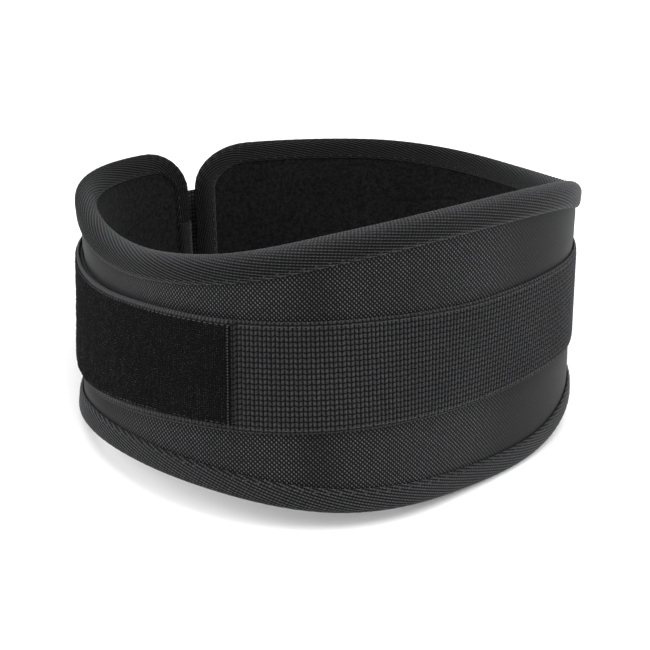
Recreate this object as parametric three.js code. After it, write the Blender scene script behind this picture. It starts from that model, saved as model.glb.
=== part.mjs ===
// A padded weightlifting belt, closed in a ring and standing on its lower edge.
// Millimetres, +Z up. The wearer faces -Y: the ends of the pad meet at -Y, and the tall back is at +Y.
import * as THREE from 'three';
import { mergeVertices } from 'three/addons/utils/BufferGeometryUtils.js';

// Ring, seen from above
const RING_RADIUS = 148; // mean radius of the pad's middle surface
const END_GAP = 7.2; // between the two ends of the pad
const GAP_TURN = 182.6; // where the ends meet, in degrees of turn from the middle of the back

// Heights above and below the middle of the webbing, to the outermost point of the binding
const BACK_RISE = 82.6; // in the middle of the back
const BACK_DROP = 83.1;
const END_RISE = 55.8; // at the two ends
const END_DROP = 56.5;

// Rounded corners of the pad's two ends: how far they run along the pad, and how deep they are
const LEFT_CORNER_RUN = 30;
const RIGHT_CORNER_RUN = 38;
const CORNER_DEPTH = 28;

// Layers of the pad, from the outside in
const FOAM_THICKNESS = 7.5; // foam with its woven shell
const LINING_THICKNESS = 1.2;
const CLEARANCE = 0.3; // between pieces that touch

// The foam's edge is rounded inside the fold of the tape
const EDGE_SQUARE = 0.5; // how far the full thickness goes past the rim's centre line
const EDGE_ROUND = 3.4; // how far the narrowed edge goes past it
const EDGE_NARROW = 1.7; // taken off the outer face there

// Binding tape, folded round the rim
const TAPE_THICKNESS = 1.4;
const TAPE_COVER_OUTSIDE = 14.5;
const TAPE_COVER_INSIDE = 12;
const LAP_THICKNESS = 0.8;
const LAP_TOP = 8; // height of the lap's upper end above the webbing's middle
const LAP_LENGTH = 26;
const RIM_FLARE_TOP = 1.2; // how far the upper rim leans out of the pad's face
const RIM_FLARE_BOTTOM = 0.6;
const FLARE_REACH = 26;

// Band, strap and fastener
const WEBBING_WIDTH = 60;
const WEBBING_THICKNESS = 1.5;
const STRAP_WIDTH = 56;
const STRAP_THICKNESS = 1.8;
const STRAP_TIP_TURN = 312.2; // the free end, on the wearer's left
const STRAP_SEWN_TURN = 97; // the sewn end, on the wearer's right back
const PILE_THICKNESS = 1.3;
const PILE_START_TURN = 128; // past the box of stitches that holds the strap
const PILE_TIP_MARGIN = 1.2; // bare strap at the free end
const SELVAGE = 2; // bare strip along the strap's upper edge

// How far the rim's lowest points are pressed flat by the belt's own weight
const REST_FLAT = 0.6;

// Out-of-round terms of the ring: waves in one round, and their size as shares of RING_RADIUS,
// along the line from the middle of the back and across it
const PLAN_WAVES = [
  { waves: 2, along: 0.014, across: -0.036 },
  { waves: 3, along: -0.02, across: -0.023 },
  { waves: 4, along: -0.008, across: 0.01 },
  { waves: 5, along: -0.0135, across: -0.002 },
];

// Height sections round the belt. turn: degrees from the middle of the back, positive to the wearer's right.
// rise, drop: how far the rim has gone from its height at the ends to its height at the back.
// band: the webbing's middle as a share of WEBBING_WIDTH. lean: degrees that the wall's top leans outwards.
const SECTIONS = [
  { turn: -180, rise: 0, drop: 0, band: -0.038, lean: 0 },
  { turn: -135, rise: 0.12, drop: 0.13, band: -0.09, lean: 4 },
  { turn: -112, rise: -0.046, drop: 0.3, band: -0.115, lean: -4 },
  { turn: -90, rise: -0.15, drop: 0.15, band: -0.112, lean: -9.8 },
  { turn: -54, rise: 0.215, drop: 0.33, band: 0, lean: -4.2 },
  { turn: -27, rise: 0.74, drop: 0.755, band: 0.01, lean: -2.5 },
  { turn: 0, rise: 1, drop: 1, band: -0.021, lean: 3.2 },
  { turn: 27, rise: 0.895, drop: 0.975, band: 0.016, lean: 4.2 },
  { turn: 54, rise: 0.28, drop: 0.475, band: 0.01, lean: 0.2 },
  { turn: 90, rise: -0.16, drop: 0.14, band: -0.001, lean: -0.2 },
  { turn: 135, rise: 0.02, drop: 0.03, band: -0.024, lean: -0.2 },
  { turn: 180, rise: 0, drop: 0, band: -0.038, lean: 0 },
];

// How the strap lies over the webbing. over: share of its climb over the lapped tape at the ends.
// slack: how far it stands off besides, as a share of its own thickness.
// up: how far it has slipped up from the webbing's middle, as a share of its own width.
const STRAP_LIFTS = [
  { turn: STRAP_SEWN_TURN, over: 0, slack: 0, up: 0 },
  { turn: 124, over: 0, slack: 0, up: 0 },
  { turn: 165, over: 1, slack: 0.2, up: 0 },
  { turn: GAP_TURN, over: 1, slack: 0.4, up: 0 },
  { turn: 198, over: 1, slack: 0.4, up: 0 },
  { turn: 240, over: 0.1, slack: 0.12, up: 0.048 },
  { turn: 262, over: 0, slack: 0.12, up: 0.053 },
  { turn: 285, over: 0, slack: 0.13, up: 0.071 },
  { turn: STRAP_TIP_TURN, over: 0, slack: 0, up: 0.045 },
];

// Mesh fineness
const BODY_STEPS = 56; // along the pad between its corners
const CORNER_STEPS = 7;
const WALL_ROWS = [0, 0.07, 0.16, 0.5, 0.84, 0.93, 1]; // shares of the wall's height
const BAND_ROWS = [0, 0.5, 1]; // shares of a band's width
const RIM_STEPS = 7; // round the outside of the folded rim: odd, so that a facet faces straight down
const LAP_STEPS = 3;
const SHORTEST_STEP = 1.5;

// Sizes that follow
const PAD_HALF = (FOAM_THICKNESS + CLEARANCE + LINING_THICKNESS) / 2;
const FOAM_INNER = PAD_HALF - LINING_THICKNESS - CLEARANCE;
const RIM_INNER = PAD_HALF + CLEARANCE; // inside radius of the folded rim
const RIM_OUTER = RIM_INNER + TAPE_THICKNESS;
const WEBBING_INNER = PAD_HALF + CLEARANCE;
const WEBBING_OUTER = WEBBING_INNER + WEBBING_THICKNESS;
const STRAP_INNER = WEBBING_OUTER + CLEARANCE;
const LAP_OUTER = RIM_OUTER + CLEARANCE + LAP_THICKNESS;
const LAP_CLIMB = LAP_OUTER + CLEARANCE - STRAP_INNER;
const DEGREE = Math.PI / 180;

// A smooth curve through the rows of a table: value of one column at a turn
function smooth(rows, column, turn) {
  const last = rows.length - 1;
  const at = Math.min(Math.max(turn, rows[0].turn), rows[last].turn);
  const next = Math.max(1, rows.findIndex((row) => row.turn >= at));
  const slope = (i) => (rows[i + 1][column] - rows[i][column]) / (rows[i + 1].turn - rows[i].turn);
  const tangent = (i) => {
    if (i === 0) return slope(0);
    if (i === last) return slope(last - 1);
    const before = rows[i].turn - rows[i - 1].turn;
    const after = rows[i + 1].turn - rows[i].turn;
    return (after * slope(i - 1) + before * slope(i)) / (before + after);
  };
  const span = rows[next].turn - rows[next - 1].turn;
  const t = (at - rows[next - 1].turn) / span;
  return (2 * t ** 3 - 3 * t ** 2 + 1) * rows[next - 1][column]
    + (t ** 3 - 2 * t ** 2 + t) * span * tangent(next - 1)
    + (3 * t ** 2 - 2 * t ** 3) * rows[next][column]
    + (t ** 3 - t ** 2) * span * tangent(next);
}

// The ring's middle line and its outward direction at a turn
function ring(turn) {
  const angle = turn * DEGREE;
  let radius = RING_RADIUS;
  let growth = 0;
  for (const { waves, along, across } of PLAN_WAVES) {
    radius += RING_RADIUS * (along * Math.cos(waves * angle) + across * Math.sin(waves * angle));
    growth += RING_RADIUS * waves * (across * Math.cos(waves * angle) - along * Math.sin(waves * angle));
  }
  const [ux, uy] = [-Math.sin(angle), Math.cos(angle)];
  const forward = new THREE.Vector2(growth * ux - radius * uy, growth * uy + radius * ux).normalize();
  return {
    point: new THREE.Vector2(radius * ux, radius * uy),
    out: new THREE.Vector2(forward.y, -forward.x),
  };
}

// Length along the ring's middle line, counted from the middle of the back
const FIRST_TURN = -200; // past the left end
const LAST_TURN = Math.ceil(STRAP_TIP_TURN) + 2; // past the strap's free end
const lengths = [0];
for (let turn = FIRST_TURN + 1; turn <= LAST_TURN; turn += 1) {
  lengths.push(lengths.at(-1) + ring(turn).point.distanceTo(ring(turn - 1).point));
}
const BACK_LENGTH = lengths[-FIRST_TURN];

function lengthAt(turn) {
  const i = Math.floor(turn - FIRST_TURN);
  return THREE.MathUtils.lerp(lengths[i], lengths[i + 1], turn - FIRST_TURN - i) - BACK_LENGTH;
}

function turnAt(length) {
  const i = lengths.findIndex((value) => value - BACK_LENGTH > length) - 1;
  return FIRST_TURN + i + (length + BACK_LENGTH - lengths[i]) / (lengths[i + 1] - lengths[i]);
}

const wrapped = (turn) => (turn > 180 ? turn - 360 : turn < -180 ? turn + 360 : turn);

// One height section, with real sizes
function section(turn) {
  const at = wrapped(turn);
  return {
    rise: THREE.MathUtils.lerp(END_RISE, BACK_RISE, smooth(SECTIONS, 'rise', at)),
    drop: THREE.MathUtils.lerp(END_DROP, BACK_DROP, smooth(SECTIONS, 'drop', at)),
    band: WEBBING_WIDTH * smooth(SECTIONS, 'band', at),
    lean: smooth(SECTIONS, 'lean', at) * DEGREE,
  };
}

// The wall as a space of its own: length along it, height, and distance out from its middle surface
function place(length, height, out) {
  const turn = turnAt(length);
  const { point, out: away } = ring(turn);
  const { rise, drop, lean } = section(turn);
  const near = (distance) => THREE.MathUtils.smoothstep(FLARE_REACH - distance, 0, FLARE_REACH);
  const flare = RIM_FLARE_TOP * near(rise - height) + RIM_FLARE_BOTTOM * near(drop + height);
  const move = out + height * Math.tan(lean) + flare;
  return [point.x + away.x * move, point.y + away.y * move, height];
}

// Outline of the pad and its binding on the unrolled wall, anticlockwise seen from outside
const LEFT_END = lengthAt(GAP_TURN - 360) + END_GAP / 2;
const RIGHT_END = lengthAt(GAP_TURN) - END_GAP / 2;
const columns = [];
for (let i = 0; i < CORNER_STEPS; i += 1) {
  const angle = (i / CORNER_STEPS) * 90 * DEGREE;
  columns.push({ at: LEFT_END + LEFT_CORNER_RUN * (1 - Math.cos(angle)), cut: 1 - Math.sin(angle) });
}
const STRAIGHT_START = LEFT_END + LEFT_CORNER_RUN;
const STRAIGHT_END = RIGHT_END - RIGHT_CORNER_RUN;
for (let i = 0; i <= BODY_STEPS; i += 1) {
  columns.push({ at: THREE.MathUtils.lerp(STRAIGHT_START, STRAIGHT_END, i / BODY_STEPS), cut: 0 });
}
for (let i = CORNER_STEPS - 1; i >= 0; i -= 1) {
  const angle = (i / CORNER_STEPS) * 90 * DEGREE;
  columns.push({ at: RIGHT_END - RIGHT_CORNER_RUN * (1 - Math.cos(angle)), cut: 1 - Math.sin(angle) });
}
const LAST_COLUMN = columns.length - 1;
const LAST_ROW = WALL_ROWS.length - 1;
const topPoint = ({ at, cut }) => new THREE.Vector2(at, section(turnAt(at)).rise - CORNER_DEPTH * cut);
const bottomPoint = ({ at, cut }) => new THREE.Vector2(at, CORNER_DEPTH * cut - section(turnAt(at)).drop);
const endPoints = (column) => WALL_ROWS.slice(1, -1).map((share) => (
  bottomPoint(column).lerp(topPoint(column), share)));
const outline = [
  ...columns.map(bottomPoint),
  ...endPoints(columns[LAST_COLUMN]),
  ...columns.map(topPoint).reverse(),
  ...endPoints(columns[0]).reverse(),
];
const outward = outline.map((_, i) => {
  const before = outline.at(i - 1);
  const after = outline[(i + 1) % outline.length];
  return new THREE.Vector2(after.y - before.y, before.x - after.x).normalize();
});

// Which outline point a row and column of the wall ends on, or undefined inside it
function outlineIndex(row, column) {
  if (row === 0) return column;
  if (column === LAST_COLUMN) return LAST_COLUMN + row;
  if (row === LAST_ROW) return 2 * LAST_COLUMN + LAST_ROW - column;
  if (column === 0) return 2 * LAST_COLUMN + 2 * LAST_ROW - row;
  return undefined;
}

const inset = (i, distance) => outline[i].clone().addScaledVector(outward[i], -distance);

// A closed mesh from faces given as corner points, with shared corners merged
function solid(name, faces, { colour, roughness }) {
  const split = (face) => face.slice(2).flatMap((_, i) => [face[0], face[i + 1], face[i + 2]]);
  const corners = faces.flatMap(split);
  let geometry = new THREE.BufferGeometry();
  geometry.setAttribute('position', new THREE.Float32BufferAttribute(corners.flat(), 3));
  geometry = mergeVertices(geometry, 0.001);
  geometry.computeVertexNormals();
  const mesh = new THREE.Mesh(geometry, new THREE.MeshStandardMaterial({ color: colour, roughness }));
  mesh.name = name;
  return mesh;
}

// Faces between two rows of points, each face pointing to the side where the rows run anticlockwise.
// A face is split from its first corner, so a mirrored strip starts one corner on: two twisted
// surfaces that lie on each other are then split along the same diagonal.
function strip(low, high) {
  return low.slice(1).map((_, i) => [low[i], low[i + 1], high[i + 1], high[i]]);
}
function mirroredStrip(low, high) {
  return low.slice(1).map((_, i) => [low[i + 1], high[i + 1], high[i], low[i]]);
}
const closed = (row) => [...row, row[0]];

// A sheet that fills the outline. edges: rings from the outer face round the edge to the inner face,
// each with its inset from the outline and its distance out from the wall's middle surface.
function panel(name, edges, material) {
  const faces = [];
  const rings = edges.map(({ inset: distance, out }) => (
    outline.map((_, i) => place(...inset(i, distance).toArray(), out))));
  for (let i = 1; i < rings.length; i += 1) faces.push(...strip(closed(rings[i]), closed(rings[i - 1])));
  const wall = ({ inset: distance, out }) => WALL_ROWS.map((share, row) => columns.map((_, column) => {
    const edge = outlineIndex(row, column);
    if (edge !== undefined) return place(...inset(edge, distance).toArray(), out);
    const low = inset(outlineIndex(0, column), distance);
    const high = inset(outlineIndex(LAST_ROW, column), distance);
    return place(...low.lerp(high, share).toArray(), out);
  }));
  const front = wall(edges[0]);
  const back = wall(edges.at(-1));
  for (let row = 1; row < WALL_ROWS.length; row += 1) {
    faces.push(...strip(front[row - 1], front[row]), ...mirroredStrip(back[row], back[row - 1]));
  }
  return solid(name, faces, material);
}

// The folded tape's section: place past the rim's centre line, and distance out from the middle surface
function foldedTape(innerRadius, outerRadius, innerSteps) {
  const arc = (radius, steps) => Array.from({ length: steps + 1 }, (_, i) => {
    const angle = (i / steps) * 180 * DEGREE;
    return { past: radius * Math.sin(angle), out: radius * Math.cos(angle) };
  });
  const outsideLeg = RIM_OUTER - TAPE_COVER_OUTSIDE;
  const insideLeg = RIM_OUTER - TAPE_COVER_INSIDE;
  return [
    { past: outsideLeg, out: outerRadius },
    ...arc(outerRadius, RIM_STEPS),
    { past: insideLeg, out: -outerRadius },
    { past: insideLeg, out: -innerRadius },
    ...arc(innerRadius, innerSteps).reverse(),
    { past: outsideLeg, out: innerRadius },
  ];
}

function rimSection(i, profile) {
  return profile.map(({ past, out }) => place(...inset(i, RIM_OUTER - past).toArray(), out));
}

// The binding runs once round the whole rim
function edgeBinding(material) {
  const profile = foldedTape(RIM_INNER, RIM_OUTER, RIM_STEPS - 2);
  const sections = outline.map((_, i) => closed(rimSection(i, profile)));
  const faces = closed(sections).slice(1).flatMap((row, i) => strip(sections[i], row));
  return solid('edge_binding', faces, material);
}

// Where the tape's end lies over its start, on the straight end of the pad's left side
function bindingLap(material) {
  const profile = foldedTape(RIM_OUTER + CLEARANCE, LAP_OUTER, RIM_STEPS);
  const sections = Array.from({ length: LAP_STEPS + 1 }, (_, i) => profile.map(({ past, out }) => (
    place(LEFT_END + RIM_OUTER - past, LAP_TOP - (LAP_LENGTH * i) / LAP_STEPS, out))));
  const sides = sections.slice(1).flatMap((row, i) => strip(closed(sections[i]), closed(row)));
  return solid('binding_lap', [...sides, ...caps(sections[0], sections.at(-1))], material);
}

// Flat ends of a folded or plain section, as quads between its two long sides
function caps(first, last) {
  const count = first.length;
  const faces = [];
  for (let i = 0; i < count / 2 - 1; i += 1) {
    const quad = [i, i + 1, count - 2 - i, count - 1 - i];
    faces.push(quad.map((k) => first[k]).reverse(), quad.map((k) => last[k]));
  }
  return faces;
}

// A band wrapped along the wall: stations in length order, each with its four edges.
// A section runs up the inner face and down the outer one.
function band(name, stations, material) {
  const sections = stations.map(({ at, low, high, inner, outer }) => {
    const heights = BAND_ROWS.map((share) => THREE.MathUtils.lerp(low, high, share));
    const up = heights.map((height) => place(at, height, inner));
    const down = heights.map((height) => place(at, height, outer)).reverse();
    return [...up, ...down];
  });
  const top = BAND_ROWS.length;
  const sides = sections.slice(1).flatMap((row, i) => [
    ...strip(sections[i].slice(0, top + 1), row.slice(0, top + 1)),
    ...mirroredStrip(sections[i].slice(top), row.slice(top)),
    ...strip(closed(sections[i]).slice(-2), closed(row).slice(-2)),
  ]);
  return solid(name, [...sides, ...caps(sections[0], sections.at(-1))], material);
}

// Stations of a band from one length to another, at the wall's own columns in between
const LOOP_LENGTH = lengthAt(180) - lengthAt(-180);
function stationsBetween(from, to) {
  const places = columns.flatMap(({ at }) => [at, at + LOOP_LENGTH]);
  const inside = places.filter((at) => at > from && at < to).sort((a, b) => a - b);
  return [from, ...inside.filter((at, i) => i === 0 || at - inside[i - 1] > SHORTEST_STEP), to];
}

// How far inside an end of the pad the webbing stops: past the tape, also where the tape's inner
// edge starts to turn round a corner below or above the webbing's own edge
function webbingCover(end, cornerRun) {
  const { rise, drop, band: middle } = section(turnAt(end));
  const cover = TAPE_COVER_OUTSIDE + CLEARANCE;
  const straight = Math.min(rise - middle, drop + middle) - CORNER_DEPTH;
  const past = Math.max(0, WEBBING_WIDTH / 2 - straight) / (CORNER_DEPTH - cover);
  return cover + (cornerRun - cover) * (1 - Math.sqrt(1 - Math.min(1, past) ** 2));
}

function webbing(material) {
  const start = LEFT_END + webbingCover(LEFT_END, LEFT_CORNER_RUN);
  const end = RIGHT_END - webbingCover(RIGHT_END, RIGHT_CORNER_RUN);
  const stations = stationsBetween(start, end).map((at) => {
    const middle = section(turnAt(at)).band;
    return {
      at,
      low: middle - WEBBING_WIDTH / 2,
      high: middle + WEBBING_WIDTH / 2,
      inner: WEBBING_INNER,
      outer: WEBBING_OUTER,
    };
  });
  return band('webbing', stations, material);
}

// The strap's inner face and its middle at a length, standing off the webbing as the table says
function strapPlace(at) {
  const turn = turnAt(at);
  const over = LAP_CLIMB * smooth(STRAP_LIFTS, 'over', turn);
  const slack = STRAP_THICKNESS * smooth(STRAP_LIFTS, 'slack', turn);
  return {
    inner: STRAP_INNER + over + slack,
    middle: section(turn).band + STRAP_WIDTH * smooth(STRAP_LIFTS, 'up', turn),
  };
}

function strap(material) {
  const stations = stationsBetween(lengthAt(STRAP_SEWN_TURN), lengthAt(STRAP_TIP_TURN)).map((at) => {
    const { inner, middle } = strapPlace(at);
    return {
      at,
      low: middle - STRAP_WIDTH / 2,
      high: middle + STRAP_WIDTH / 2,
      inner,
      outer: inner + STRAP_THICKNESS,
    };
  });
  return band('strap', stations, material);
}

function loopPile(material) {
  const end = lengthAt(STRAP_TIP_TURN) - PILE_TIP_MARGIN;
  const stations = stationsBetween(lengthAt(PILE_START_TURN), end).map((at) => {
    const { inner, middle } = strapPlace(at);
    const outer = inner + STRAP_THICKNESS + PILE_THICKNESS;
    return {
      at,
      low: middle - STRAP_WIDTH / 2,
      high: middle + STRAP_WIDTH / 2 - SELVAGE,
      inner: inner + STRAP_THICKNESS + CLEARANCE,
      outer,
    };
  });
  return band('loop_pile', stations, material);
}

// Edges of the two sheets of the pad
const foamEdges = [
  { inset: RIM_OUTER - EDGE_SQUARE, out: PAD_HALF },
  { inset: RIM_OUTER - EDGE_ROUND, out: PAD_HALF - EDGE_NARROW },
  { inset: RIM_OUTER - EDGE_ROUND, out: EDGE_NARROW / 2 - FOAM_INNER },
  { inset: RIM_OUTER - EDGE_SQUARE, out: -FOAM_INNER },
];
const liningEdges = [
  { inset: RIM_OUTER - EDGE_SQUARE, out: LINING_THICKNESS - PAD_HALF },
  { inset: RIM_OUTER - EDGE_SQUARE, out: -PAD_HALF },
];

const NYLON = { colour: 0x161617, roughness: 0.72 };
const BRUSHED = { colour: 0x0f0f10, roughness: 0.95 };
const TWILL = { colour: 0x171718, roughness: 0.75 };
const RIBBED = { colour: 0x131314, roughness: 0.7 };
const PILE = { colour: 0x0e0e0f, roughness: 0.98 };

const belt = new THREE.Group();
belt.add(panel('padded_body', foamEdges, NYLON));
belt.add(panel('lining', liningEdges, BRUSHED));
belt.add(edgeBinding(TWILL));
belt.add(bindingLap(TWILL));
belt.add(webbing(RIBBED));
belt.add(strap(RIBBED));
belt.add(loopPile(PILE));

// Set down as it would stand by itself: on the lowest point of the back's rim and of the rim on each side.
// A few rounds of tilting settle on the three points.
const rimMesh = belt.getObjectByName('edge_binding');
const rimCorners = [];
for (let i = 0; i < rimMesh.geometry.attributes.position.count; i += 1) {
  rimCorners.push(new THREE.Vector3().fromBufferAttribute(rimMesh.geometry.attributes.position, i));
}
const SIDES = [
  ({ y }) => y > RING_RADIUS / 2,
  ({ x, y }) => y < 0 && x > 0,
  ({ x, y }) => y < 0 && x < 0,
];
const up = new THREE.Vector3(0, 0, 1);
for (let round = 0; round < 6; round += 1) {
  const feet = SIDES.map((side) => rimCorners.filter(side).reduce((a, b) => (a.dot(up) < b.dot(up) ? a : b)));
  const plane = new THREE.Plane().setFromCoplanarPoints(...feet);
  up.copy(plane.normal).multiplyScalar(Math.sign(plane.normal.z));
}
const turnUpright = new THREE.Quaternion().setFromUnitVectors(up, new THREE.Vector3(0, 0, 1));
for (const mesh of belt.children) mesh.geometry.applyQuaternion(turnUpright);
const box = new THREE.Box3().setFromObject(belt);
const middle = box.getCenter(new THREE.Vector3());
for (const mesh of belt.children) mesh.geometry.translate(-middle.x, -middle.y, -box.min.z - REST_FLAT);
const rim = rimMesh.geometry.attributes.position;
for (let i = 0; i < rim.count; i += 1) rim.setZ(i, Math.max(0, rim.getZ(i)));

export default belt;
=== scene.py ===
# %% [markdown]
# A padded weightlifting belt, closed in a ring and standing on its lower edge.
# The real belt is a strip of foam between a woven shell and a brushed lining. Twill tape is folded
# round its edge, a wide band of webbing is sewn along the middle, and a strap with a face of loop
# pile closes it in front.
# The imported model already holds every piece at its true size. It is loaded first, and each soft
# piece is then made again as cloth, in the same place.

import bpy
import numpy as np
from mathutils import Euler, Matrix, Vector


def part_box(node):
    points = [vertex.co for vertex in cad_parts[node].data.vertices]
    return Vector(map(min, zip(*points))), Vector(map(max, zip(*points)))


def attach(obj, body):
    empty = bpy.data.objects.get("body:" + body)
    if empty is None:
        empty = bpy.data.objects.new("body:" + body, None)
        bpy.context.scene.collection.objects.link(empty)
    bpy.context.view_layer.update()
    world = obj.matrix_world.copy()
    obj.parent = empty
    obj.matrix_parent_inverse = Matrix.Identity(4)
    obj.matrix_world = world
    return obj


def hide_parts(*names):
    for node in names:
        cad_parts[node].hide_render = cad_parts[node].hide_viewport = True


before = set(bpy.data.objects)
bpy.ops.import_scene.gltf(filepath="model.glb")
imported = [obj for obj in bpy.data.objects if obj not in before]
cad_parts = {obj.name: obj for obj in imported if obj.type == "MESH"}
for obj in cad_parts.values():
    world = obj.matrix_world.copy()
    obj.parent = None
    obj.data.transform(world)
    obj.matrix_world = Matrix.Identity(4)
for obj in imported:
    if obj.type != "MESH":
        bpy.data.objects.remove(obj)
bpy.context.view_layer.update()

print("nodes of the frame:", ", ".join(sorted(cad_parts)))

# %% [markdown]
# The belt bends round a body, and its pieces lie on each other like layers of a wall. It helps to
# have a space of its own for that wall: a length along the belt, a height, and a distance out from
# the wall's middle surface. A piece is then written flat, as a maker cuts it, and one function
# bends it round. The sizes are the frame's own, in millimetres.

# %% Driving sizes
MM = 0.001
RING_RADIUS = 148
END_GAP = 7.2
GAP_TURN = 182.6  # degrees of turn from the middle of the back, positive to the wearer's right
BACK_RISE, BACK_DROP = 82.6, 83.1
END_RISE, END_DROP = 55.8, 56.5
LEFT_CORNER_RUN, RIGHT_CORNER_RUN, CORNER_DEPTH = 30, 38, 28
FOAM_THICKNESS, LINING_THICKNESS, CLEARANCE = 7.5, 1.2, 0.3
TAPE_THICKNESS, TAPE_COVER_OUTSIDE, TAPE_COVER_INSIDE = 1.4, 14.5, 12
LAP_THICKNESS, LAP_TOP, LAP_LENGTH = 0.8, 8, 26
RIM_FLARE_TOP, RIM_FLARE_BOTTOM, FLARE_REACH = 1.2, 0.6, 26
WEBBING_WIDTH, WEBBING_THICKNESS = 60, 1.5
STRAP_WIDTH, STRAP_THICKNESS = 56, 1.8
STRAP_TIP_TURN, STRAP_SEWN_TURN = 312.2, 97
PILE_THICKNESS, PILE_START_TURN, PILE_TIP_MARGIN = 1.3, 128, 1.2
SELVAGE = 2
REST_FLAT = 0.6

PAD_HALF = (FOAM_THICKNESS + CLEARANCE + LINING_THICKNESS) / 2
RIM_INNER = PAD_HALF + CLEARANCE
RIM_OUTER = RIM_INNER + TAPE_THICKNESS
WEBBING_INNER = PAD_HALF + CLEARANCE
WEBBING_OUTER = WEBBING_INNER + WEBBING_THICKNESS
STRAP_INNER = WEBBING_OUTER + CLEARANCE
LAP_OUTER = RIM_OUTER + CLEARANCE + LAP_THICKNESS
LAP_CLIMB = LAP_OUTER + CLEARANCE - STRAP_INNER
print("pad", 2 * PAD_HALF, "mm thick, rim", 2 * RIM_OUTER, "mm thick")


# %% Tables of the belt's form
def table(columns, rows):
    """Rows of numbers, read by the names of their columns."""
    return dict(zip(columns.split(), np.array(rows, float).T))


# Out-of-round terms of the ring, as shares of its radius
PLAN_WAVES = ((2, 0.014, -0.036), (3, -0.02, -0.023), (4, -0.008, 0.01), (5, -0.0135, -0.002))

# rise, drop: from 0 at the ends to 1 in the middle of the back. band: the webbing's middle as a
# share of its width. lean: degrees that the wall's top leans outwards.
SECTIONS = table("turn rise drop band lean", (
    (-180, 0, 0, -0.038, 0),
    (-135, 0.12, 0.13, -0.09, 4),
    (-112, -0.046, 0.3, -0.115, -4),
    (-90, -0.15, 0.15, -0.112, -9.8),
    (-54, 0.215, 0.33, 0, -4.2),
    (-27, 0.74, 0.755, 0.01, -2.5),
    (0, 1, 1, -0.021, 3.2),
    (27, 0.895, 0.975, 0.016, 4.2),
    (54, 0.28, 0.475, 0.01, 0.2),
    (90, -0.16, 0.14, -0.001, -0.2),
    (135, 0.02, 0.03, -0.024, -0.2),
    (180, 0, 0, -0.038, 0),
))

# over: the strap's climb over the lapped tape. slack: how far it stands off, in its own
# thicknesses. up: how far it has slipped up from the webbing's middle, as a share of its own
# width.
STRAP_LIFTS = table("turn over slack up", (
    (STRAP_SEWN_TURN, 0, 0, 0),
    (124, 0, 0, 0),
    (165, 1, 0.2, 0),
    (GAP_TURN, 1, 0.4, 0),
    (198, 1, 0.4, 0),
    (240, 0.1, 0.12, 0.048),
    (262, 0, 0.12, 0.053),
    (285, 0, 0.13, 0.071),
    (STRAP_TIP_TURN, 0, 0, 0.045),
))


def smooth(rows, column, turn):
    """A smooth curve through one column of a table, at one turn or many."""
    x, y = rows["turn"], rows[column]
    step = np.diff(x)
    slope = np.diff(y) / step
    tangent = np.concatenate((slope[:1], slope, slope[-1:]))[:len(x)]
    tangent[1:-1] = (step[1:] * slope[:-1] + step[:-1] * slope[1:]) / (step[1:] + step[:-1])
    tangent[-1] = slope[-1]
    at = np.clip(turn, x[0], x[-1])
    i = np.clip(np.searchsorted(x, at) - 1, 0, len(x) - 2)
    t = (at - x[i]) / step[i]
    return ((2 * t**3 - 3 * t**2 + 1) * y[i] + (t**3 - 2 * t**2 + t) * step[i] * tangent[i]
            + (3 * t**2 - 2 * t**3) * y[i + 1] + (t**3 - t**2) * step[i] * tangent[i + 1])


def ease(value, low, high):
    """0 below low, 1 above high, and a smooth step between them."""
    t = np.clip((value - low) / (high - low), 0, 1)
    return t * t * (3 - 2 * t)


# %% The ring seen from above, and the wall's own space
def ring(turn):
    """The ring's middle line and its outward direction at each turn."""
    angle = np.radians(turn)
    radius = np.full(np.shape(angle), float(RING_RADIUS))
    growth = np.zeros(np.shape(angle))
    for waves, along, across in PLAN_WAVES:
        cosine, sine = np.cos(waves * angle), np.sin(waves * angle)
        radius += RING_RADIUS * (along * cosine + across * sine)
        growth += RING_RADIUS * waves * (across * cosine - along * sine)
    ux, uy = -np.sin(angle), np.cos(angle)
    forward = np.stack((growth * ux - radius * uy, growth * uy + radius * ux), -1)
    forward /= np.linalg.norm(forward, axis=-1, keepdims=True)
    out = np.stack((forward[..., 1], -forward[..., 0]), -1)
    return np.stack((radius * ux, radius * uy), -1), out


TURNS = np.arange(-200.0, 316.0)
STEPS = np.linalg.norm(np.diff(ring(TURNS)[0], axis=0), axis=1)
LENGTHS = np.concatenate(([0], np.cumsum(STEPS)))
LENGTHS -= np.interp(0, TURNS, LENGTHS)


def length_at(turn):
    return np.interp(turn, TURNS, LENGTHS)


def turn_at(length):
    return np.interp(length, LENGTHS, TURNS)


def section(turn):
    """Height of the rim above and below, height of the webbing's middle, and lean, at each turn."""
    at = (np.asarray(turn) + 180) % 360 - 180
    rise = END_RISE + (BACK_RISE - END_RISE) * smooth(SECTIONS, "rise", at)
    drop = END_DROP + (BACK_DROP - END_DROP) * smooth(SECTIONS, "drop", at)
    band = WEBBING_WIDTH * smooth(SECTIONS, "band", at)
    return rise, drop, band, np.radians(smooth(SECTIONS, "lean", at))


def wall(length, height, out):
    """A point of the wall's space, bent round the ring, before the belt is set down."""
    turn = turn_at(length)
    point, away = ring(turn)
    rise, drop, _, lean = section(turn)
    flare = (RIM_FLARE_TOP * ease(FLARE_REACH - (rise - height), 0, FLARE_REACH)
             + RIM_FLARE_BOTTOM * ease(FLARE_REACH - (drop + height), 0, FLARE_REACH))
    move = out + height * np.tan(lean) + flare
    height = height + 0 * move
    x, y = point[..., 0] + away[..., 0] * move, point[..., 1] + away[..., 1] * move
    return np.stack((x, y, height), -1)


LEFT_END = length_at(GAP_TURN - 360) + END_GAP / 2
RIGHT_END = length_at(GAP_TURN) - END_GAP / 2
LOOP_LENGTH = length_at(180) - length_at(-180)
print("the pad is", round(RIGHT_END - LEFT_END), "mm long")

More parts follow.
